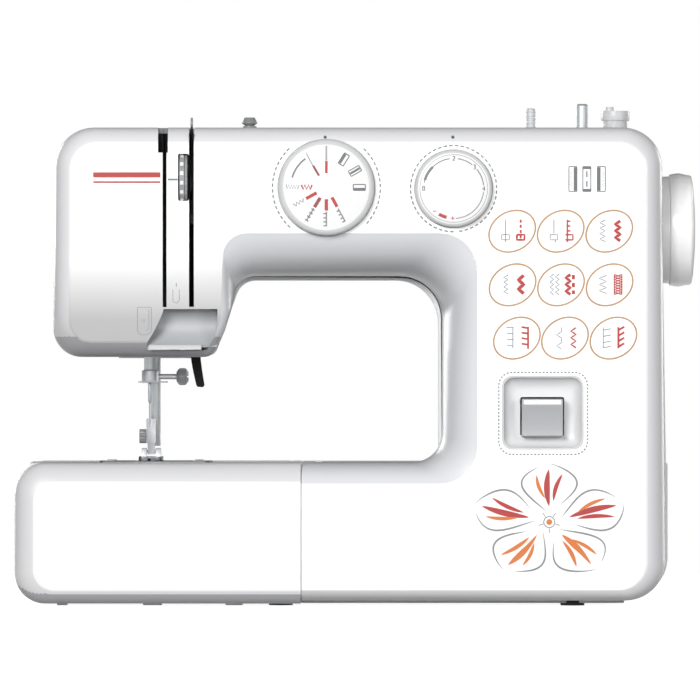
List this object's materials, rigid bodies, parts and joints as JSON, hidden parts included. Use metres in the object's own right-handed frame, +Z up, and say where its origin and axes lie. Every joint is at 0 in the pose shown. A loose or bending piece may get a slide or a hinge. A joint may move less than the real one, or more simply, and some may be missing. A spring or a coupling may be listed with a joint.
{
  "type": "sewing machine",
  "caption": "Household free-arm sewing machine with stitch dials, handwheel, needle and presser foot, and a sliding extension table that holds accessories.",
  "frame": {"origin": "middle of the overall box, on the surface that the feet stand on", "axes": "+X towards the handwheel, +Y away from the user, +Z up"},
  "size_m": [0.397, 0.15, 0.2932],
  "materials": {
    "white_shell": "glossy white moulded shell",
    "grey_shell": "satin light grey moulded shell",
    "light_plastic": "light grey knob plastic",
    "dial_plastic": "white dial with printed marks",
    "black_plastic": "black lever plastic",
    "gear_plastic": "cream gear plastic",
    "cast_frame": "raw die casting",
    "bright_steel": "polished and plated",
    "needle_steel": "ground steel",
    "plate_steel": "brushed plate",
    "dark_steel": "blackened steel",
    "bronze": "sintered bush",
    "foot_rubber": "soft black rubber",
    "belt_rubber": "ribbed belt",
    "lamp_glass": "frosted bulb",
    "bobbin_plastic": "clear bobbin"
  },
  "bodies": {
    "machine": {"front_cover": "white_shell", "rear_cover": "grey_shell", "base_cover": "grey_shell", "base_tray": "grey_shell", "free_arm_cover": "white_shell", "main_frame": "cast_frame", "needle_plate": "plate_steel", "rubber_feet": "foot_rubber", "shaft_bushes": "bronze", "presser_spring": "needle_steel", "tension_discs": "bright_steel", "tension_bracket": "dark_steel", "lever_bezel": "grey_shell", "thread_scoop": "grey_shell", "timing_belt": "belt_rubber", "shuttle_race": "dark_steel", "bobbin_case": "bright_steel", "motor": "dark_steel", "motor_belt": "belt_rubber", "winder_stopper": "light_plastic", "thread_guide": "dark_steel", "hook_cover": "white_shell", "power_inlet": "black_plastic", "lamp": "lamp_glass", "screws": "bright_steel"},
    "main_shaft": {"main_shaft": "needle_steel", "handwheel": "light_plastic", "needle_crank": "cast_frame", "upper_pulley": "gear_plastic", "worm_gear": "needle_steel"},
    "needle_bar_link": {"needle_bar_link": "needle_steel"},
    "swing_frame": {"needle_bar_frame": "cast_frame"},
    "needle_bar": {"needle_bar": "needle_steel", "needle_clamp": "bright_steel", "needle": "bright_steel"},
    "clamp_screw": {"clamp_screw": "bright_steel"},
    "take_up_lever": {"take_up_lever": "bright_steel"},
    "presser_bar": {"presser_bar": "needle_steel", "foot_holder": "dark_steel"},
    "presser_foot": {"presser_foot": "bright_steel"},
    "foot_thumbscrew": {"foot_thumbscrew": "bright_steel"},
    "lifter_lever": {"lifter_lever": "black_plastic"},
    "tension_dial": {"tension_dial": "light_plastic"},
    "pattern_dial": {"pattern_dial": "dial_plastic"},
    "length_dial": {"length_dial": "dial_plastic"},
    "reverse_lever": {"reverse_lever": "light_plastic"},
    "lower_shaft": {"lower_shaft": "needle_steel", "lower_pulley": "gear_plastic"},
    "shuttle_hook": {"shuttle_hook": "bright_steel"},
    "bobbin": {"bobbin": "bobbin_plastic"},
    "feed_dog": {"feed_dog": "needle_steel"},
    "cam_stack": {"cam_stack": "gear_plastic"},
    "motor_pulley": {"motor_pulley": "needle_steel"},
    "spool_pin": {"spool_pin": "light_plastic"},
    "winder_carriage": {"winder_carriage": "dark_steel"},
    "winder_spindle": {"winder_spindle": "needle_steel"},
    "extension_table": {"extension_table": "white_shell"},
    "storage_lid": {"storage_lid": "white_shell"},
    "carrying_handle": {"carrying_handle": "light_plastic"},
    "power_switch": {"power_switch": "black_plastic"}
  },
  "joints": [
    {"name": "shaft_spin", "type": "hinge", "parent": "machine", "child": "main_shaft", "pos_m": [0.19, -0.008, 0.2192], "axis": [1, 0, 0], "continuous": true},
    {"name": "link_pivot", "type": "hinge", "parent": "main_shaft", "child": "needle_bar_link", "pos_m": [-0.107, -0.008, 0.2347], "axis": [1, 0, 0], "continuous": true},
    {"name": "zigzag_swing", "type": "hinge", "parent": "machine", "child": "swing_frame", "pos_m": [-0.131, -0.008, 0.264], "axis": [0, 1, 0], "range_deg": [-0.8, 0.8]},
    {"name": "needle_stroke", "type": "slide", "parent": "swing_frame", "child": "needle_bar", "axis": [0, 0, -1], "range_m": [0, 0.031]},
    {"name": "clamp_screw_turn", "type": "hinge", "parent": "needle_bar", "child": "clamp_screw", "pos_m": [-0.105, -0.008, 0.1332], "axis": [1, 0, 0], "range_deg": [0, 720]},
    {"name": "take_up_swing", "type": "hinge", "parent": "machine", "child": "take_up_lever", "pos_m": [-0.0956, 0.01, 0.236], "axis": [1, 0, 0], "range_deg": [0, 35]},
    {"name": "presser_lift", "type": "slide", "parent": "machine", "child": "presser_bar", "axis": [0, 0, 1], "range_m": [0, 0.006], "deforming": ["presser_spring"]},
    {"name": "lifter_swing", "type": "hinge", "parent": "machine", "child": "lifter_lever", "pos_m": [-0.095, 0.0035, 0.15], "axis": [1, 0, 0], "range_deg": [0, 50]},
    {"name": "foot_tilt", "type": "hinge", "parent": "presser_bar", "child": "presser_foot", "pos_m": [-0.1203, 0.002, 0.0893], "axis": [1, 0, 0], "range_deg": [0, 8]},
    {"name": "foot_screw_turn", "type": "hinge", "parent": "presser_bar", "child": "foot_thumbscrew", "pos_m": [-0.125, 0.003, 0.0982], "axis": [1, 0, 0], "range_deg": [0, 720]},
    {"name": "tension_turn", "type": "hinge", "parent": "machine", "child": "tension_dial", "pos_m": [-0.1003, -0.049, 0.249], "axis": [1, 0, 0], "range_deg": [-150, 150]},
    {"name": "pattern_turn", "type": "hinge", "parent": "machine", "child": "pattern_dial", "pos_m": [-0.0173, -0.07, 0.243], "axis": [0, 1, 0], "continuous": true},
    {"name": "length_turn", "type": "hinge", "parent": "machine", "child": "length_dial", "pos_m": [0.0565, -0.07, 0.2424], "axis": [0, 1, 0], "range_deg": [-150, 150]},
    {"name": "reverse_press", "type": "hinge", "parent": "machine", "child": "reverse_lever", "pos_m": [0.108, -0.024, 0.109], "axis": [1, 0, 0], "range_deg": [0, 5.5], "stiffness_Nm_per_rad": 2.5, "springref_deg": -1.72},
    {"name": "lower_shaft_spin", "type": "hinge", "parent": "machine", "child": "lower_shaft", "pos_m": [0, -0.008, 0.052], "axis": [1, 0, 0], "continuous": true},
    {"name": "hook_swing", "type": "hinge", "parent": "machine", "child": "shuttle_hook", "pos_m": [-0.119, -0.008, 0.052], "axis": [1, 0, 0], "range_deg": [-105, 105]},
    {"name": "bobbin_spin", "type": "hinge", "parent": "machine", "child": "bobbin", "pos_m": [-0.123, -0.008, 0.052], "axis": [1, 0, 0], "continuous": true},
    {"name": "feed_travel", "type": "slide", "parent": "machine", "child": "feed_dog", "axis": [0, 1, 0], "range_m": [-0.002, 0.002]},
    {"name": "cam_turn", "type": "hinge", "parent": "machine", "child": "cam_stack", "pos_m": [-0.0173, 0, 0.2434], "axis": [0, 1, 0], "continuous": true},
    {"name": "motor_spin", "type": "hinge", "parent": "machine", "child": "motor_pulley", "pos_m": [0.159, 0.002, 0.044], "axis": [1, 0, 0], "continuous": true},
    {"name": "spool_pin_lift", "type": "slide", "parent": "machine", "child": "spool_pin", "axis": [0, 0, 1], "range_m": [0, 0.04]},
    {"name": "winder_shift", "type": "slide", "parent": "machine", "child": "winder_carriage", "axis": [1, 0, 0], "range_m": [0, 0.004]},
    {"name": "winder_spin", "type": "hinge", "parent": "winder_carriage", "child": "winder_spindle", "pos_m": [0.1327, 0, 0.29], "axis": [0, 0, 1], "continuous": true},
    {"name": "table_slide", "type": "slide", "parent": "machine", "child": "extension_table", "axis": [-1, 0, 0], "range_m": [0, 0.165]},
    {"name": "lid_turn", "type": "hinge", "parent": "extension_table", "child": "storage_lid", "pos_m": [-0.11, 0.0623, 0.0817], "axis": [-1, 0, 0], "range_deg": [0, 95]},
    {"name": "handle_turn", "type": "hinge", "parent": "machine", "child": "carrying_handle", "pos_m": [0, 0.05, 0.256], "axis": [1, 0, 0], "range_deg": [0, 180]},
    {"name": "switch_rock", "type": "hinge", "parent": "machine", "child": "power_switch", "pos_m": [0.1732, 0.048, 0.052], "axis": [0, 1, 0], "range_deg": [0, 16]}
  ],
  "couplings": [
    {"joint": "link_pivot", "follows": "shaft_spin", "ratio": -1},
    {"joint": "lower_shaft_spin", "follows": "shaft_spin", "ratio": 1},
    {"joint": "motor_spin", "follows": "shaft_spin", "ratio": 4.3333},
    {"joint": "cam_turn", "follows": "shaft_spin", "ratio": 0.038462},
    {"joint": "lifter_swing", "follows": "presser_lift", "rad_per_m": 145.44},
    {"joint": "foot_tilt", "follows": "presser_lift", "rad_per_m": 23.271}
  ]
}
